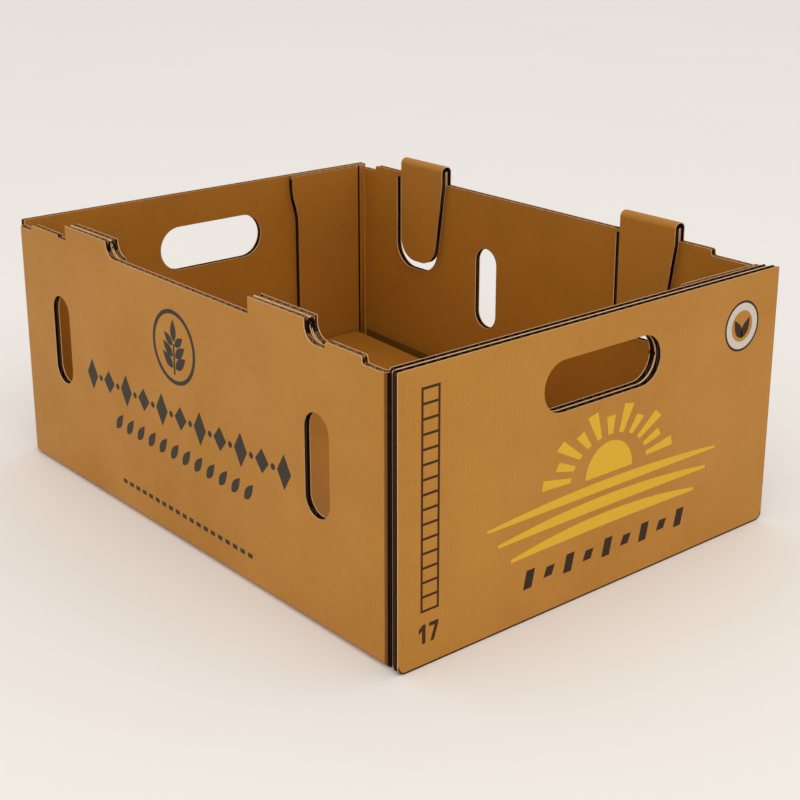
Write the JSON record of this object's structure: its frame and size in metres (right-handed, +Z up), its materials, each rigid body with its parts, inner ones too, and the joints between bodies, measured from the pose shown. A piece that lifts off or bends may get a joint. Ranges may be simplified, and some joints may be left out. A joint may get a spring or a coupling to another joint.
{
  "type": "produce carton",
  "caption": "Open-topped produce tray of waxed corrugated board with hand holes in the ends, upright vent slots and folded stacking tabs on the long sides.",
  "frame": {"origin": "middle of the base, on the surface the carton stands on", "axes": "+X across the carton to the side with the windows, +Y along it from the two-sheet end to the one-sheet end, +Z up"},
  "size_m": [0.298, 0.4, 0.1785],
  "materials": {
    "waxed_board": "waxed, slight sheen"
  },
  "bodies": {
    "root": {"body": "waxed_board", "front_panel": "waxed_board", "front_liner": "waxed_board", "rear_panel": "waxed_board"}
  },
  "joints": []
}
